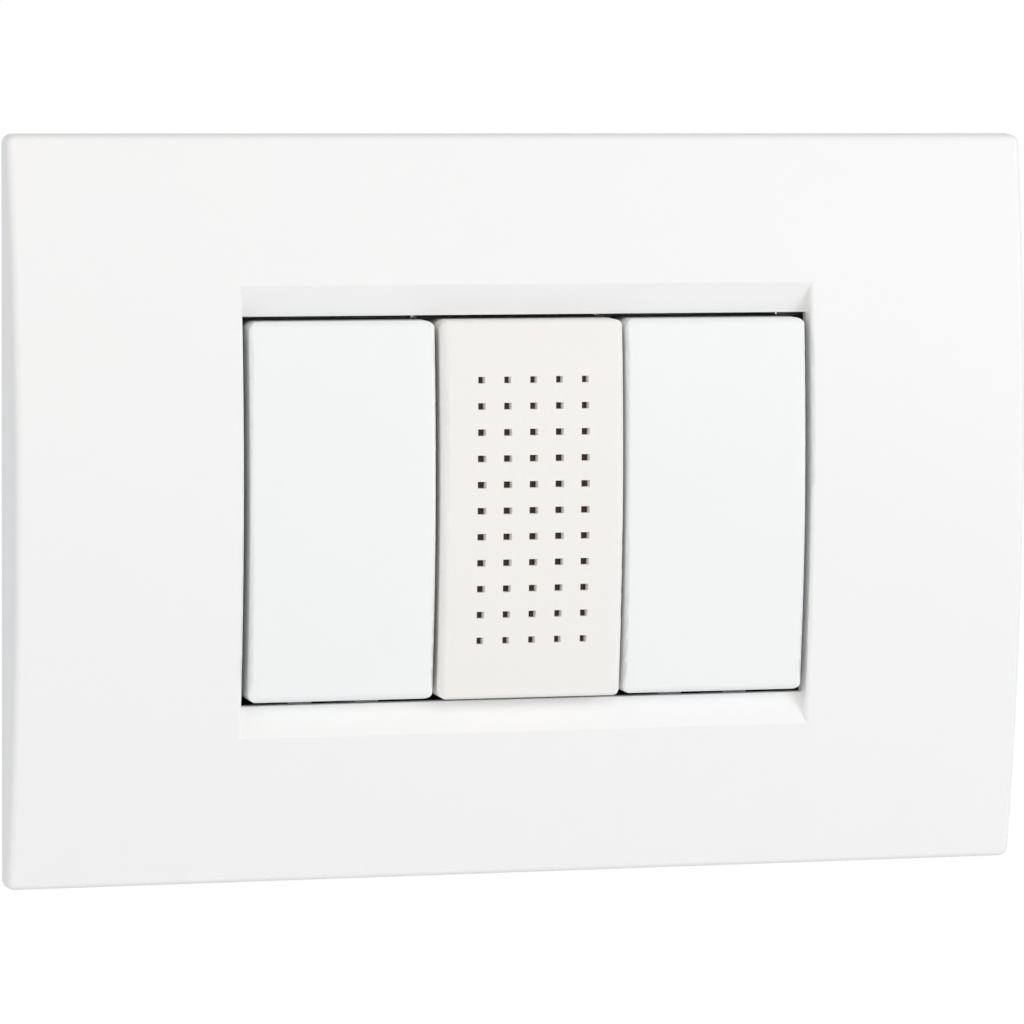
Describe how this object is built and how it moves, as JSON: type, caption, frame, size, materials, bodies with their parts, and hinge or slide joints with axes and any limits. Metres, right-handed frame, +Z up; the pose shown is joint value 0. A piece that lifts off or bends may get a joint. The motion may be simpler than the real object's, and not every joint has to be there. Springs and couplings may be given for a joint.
{
  "type": "doorbell chime box",
  "caption": "White crowned wall plate with a perforated chime module between plain push keys, on a frame for a flush box, with a solenoid and tone plate inside.",
  "frame": {"origin": "centre of the cover plate on the wall plane", "axes": "+Y into the wall, +Z up, +X to the right as seen from the room"},
  "size_m": [0.1226, 0.04, 0.087],
  "materials": {
    "white_plastic": "cool white moulded plastic, satin",
    "chime_white": "warm white moulded plastic, satin",
    "frame_charcoal": "charcoal moulded plastic, fine texture",
    "housing_grey": "light grey moulded plastic",
    "nylon": "natural nylon",
    "zinc_steel": "zinc plated steel",
    "steel": "soft iron with a thin plating",
    "spring_steel": "drawn spring wire",
    "brass": "turned and sawn brass",
    "bronze": "rolled phosphor bronze",
    "copper": "enamelled copper wire",
    "rubber": "black rubber",
    "felt": "pressed felt",
    "dark_cloth": "dark brown woven cloth"
  },
  "bodies": {
    "frame": {"mounting_frame": "frame_charcoal", "fixing_screws": "zinc_steel", "chime_cover": "chime_white", "grille_cloth": "dark_cloth", "chime_housing": "housing_grey", "chime_rear_cover": "housing_grey", "chime_terminals": "brass", "chime_terminal_screws": "zinc_steel", "tone_plate": "bronze", "tone_plate_grommets": "rubber", "tone_plate_screws": "zinc_steel", "solenoid_yoke": "steel", "yoke_screws": "zinc_steel", "coil_bobbin": "nylon", "coil_winding": "copper", "coil_leads": "copper", "core_tube": "brass", "return_spring": "spring_steel", "bumper_pad": "felt", "left_key_housing": "housing_grey", "left_key_spring": "spring_steel", "left_contact_blade": "bronze", "left_fixed_contact": "bronze", "left_terminals": "brass", "left_terminal_screws": "zinc_steel", "left_rear_cover": "housing_grey", "right_key_housing": "housing_grey", "right_key_spring": "spring_steel", "right_contact_blade": "bronze", "right_fixed_contact": "bronze", "right_terminals": "brass", "right_terminal_screws": "zinc_steel", "right_rear_cover": "housing_grey"},
    "cover_plate": {"cover_plate": "white_plastic"},
    "left_key": {"left_key": "white_plastic"},
    "right_key": {"right_key": "white_plastic"},
    "plunger": {"plunger": "steel", "striker_tip": "nylon"}
  },
  "joints": [
    {"name": "cover_pull", "type": "slide", "parent": "frame", "child": "cover_plate", "axis": [0, -1, 0], "range_m": [0, 0.02]},
    {"name": "left_key_press", "type": "hinge", "parent": "frame", "child": "left_key", "pos_m": [-0.0225, -0.0004, 0.0175], "axis": [1, 0, 0], "range_deg": [0, 3.5], "stiffness_Nm_per_rad": 0.1, "springref_deg": -17.19, "deforming": ["left_key_spring", "left_contact_blade"]},
    {"name": "right_key_press", "type": "hinge", "parent": "frame", "child": "right_key", "pos_m": [0.0225, -0.0004, 0.0175], "axis": [1, 0, 0], "range_deg": [0, 3.5], "stiffness_Nm_per_rad": 0.1, "springref_deg": -17.19, "deforming": ["right_key_spring", "right_contact_blade"]},
    {"name": "plunger_strike", "type": "slide", "parent": "frame", "child": "plunger", "axis": [0, -1, 0], "range_m": [0, 0.003], "stiffness_N_per_m": 200, "springref_m": -0.003, "deforming": ["return_spring"]}
  ]
}
